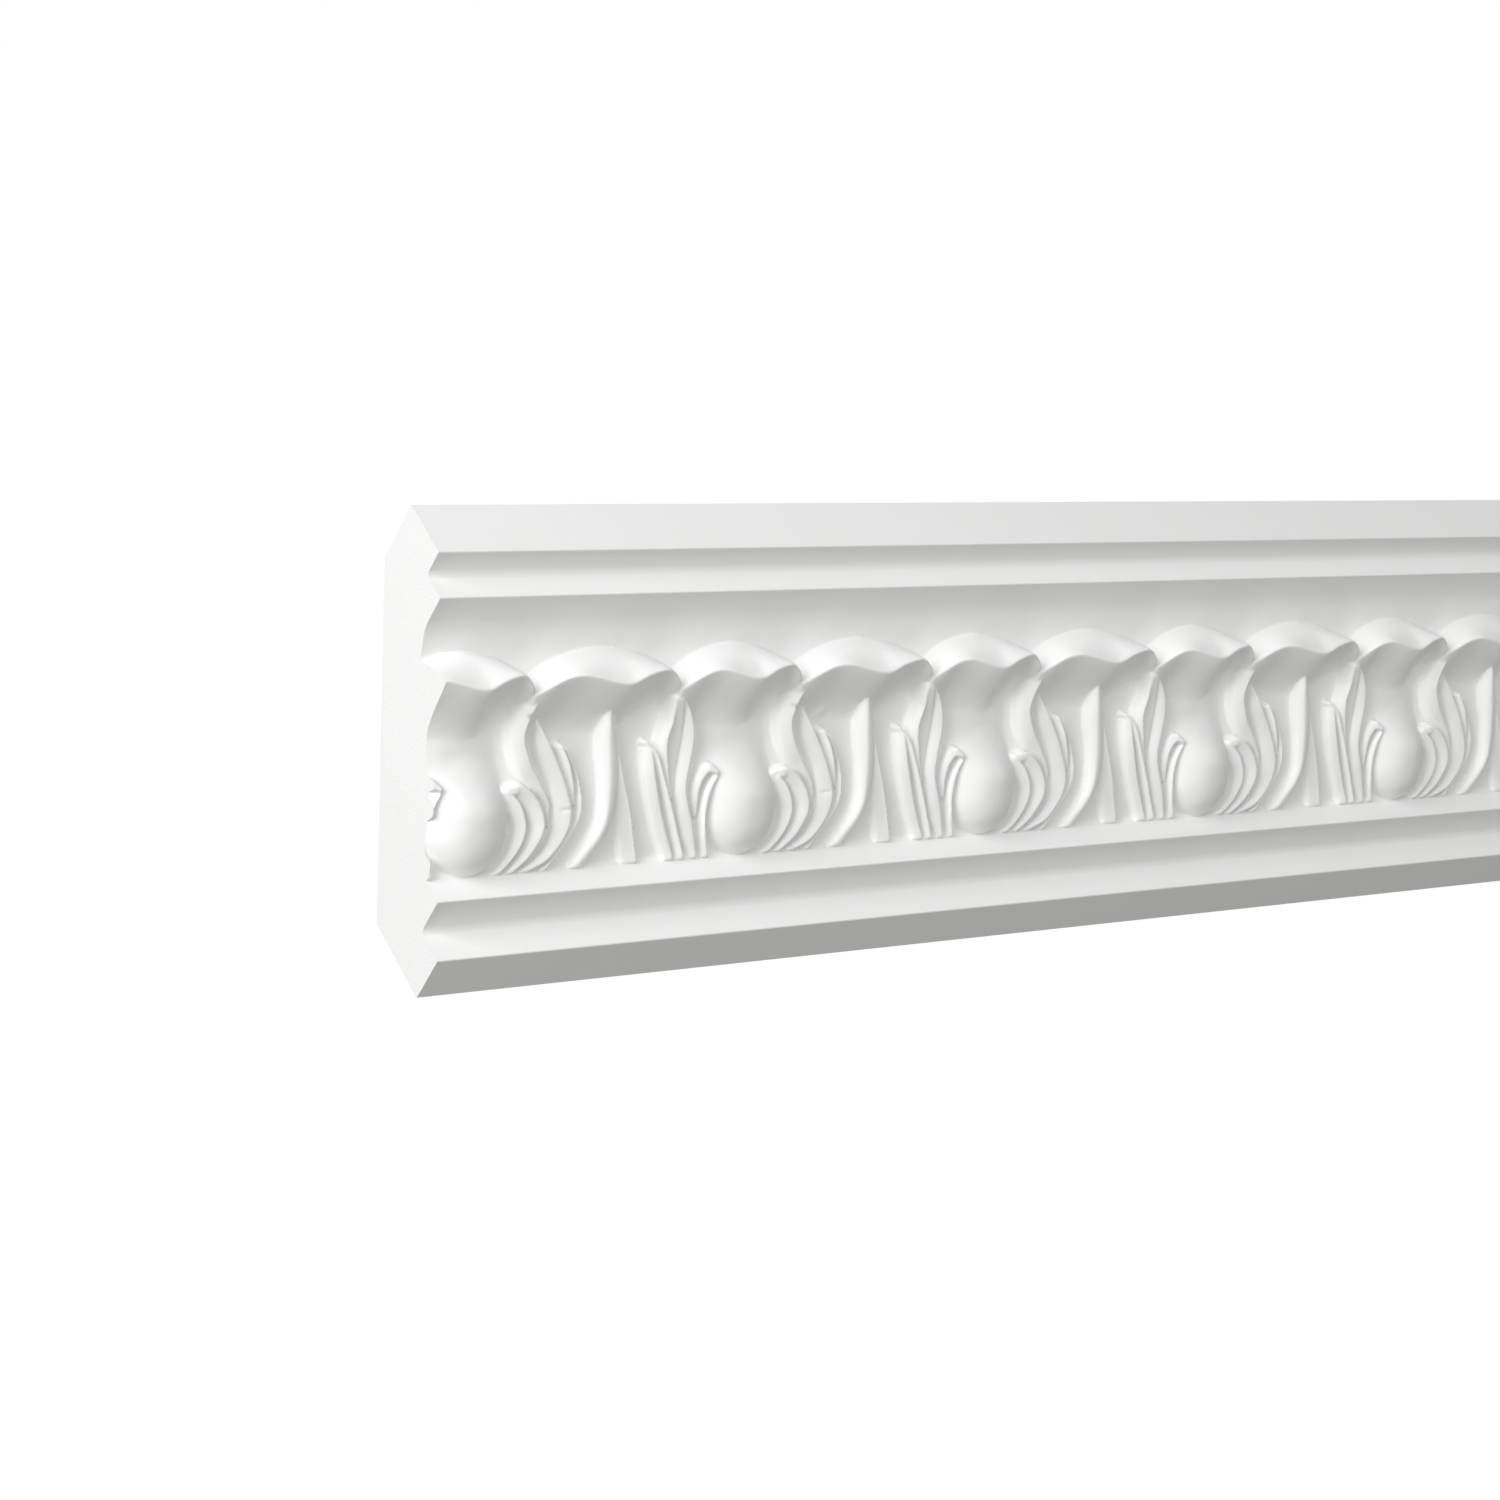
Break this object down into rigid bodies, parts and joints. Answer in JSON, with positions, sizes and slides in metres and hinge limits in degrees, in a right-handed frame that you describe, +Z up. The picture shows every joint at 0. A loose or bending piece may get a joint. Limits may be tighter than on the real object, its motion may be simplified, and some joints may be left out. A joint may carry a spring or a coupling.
{
  "type": "cornice moulding",
  "caption": "Length of ceiling cornice with stepped bands above and below a cast relief of curled leaf lobes, bulbs and leaf blades, cut square at both ends.",
  "frame": {"origin": "middle of the flat face that is glued to the wall, half way along the length", "axes": "+X along the moulding, +Y into the wall, +Z up to the ceiling"},
  "size_m": [0.3684, 0.0762, 0.0723],
  "materials": {
    "primed_polyurethane": "matte white factory primer on cast rigid polyurethane"
  },
  "bodies": {
    "root": {"cornice_moulding": "primed_polyurethane"}
  },
  "joints": []
}
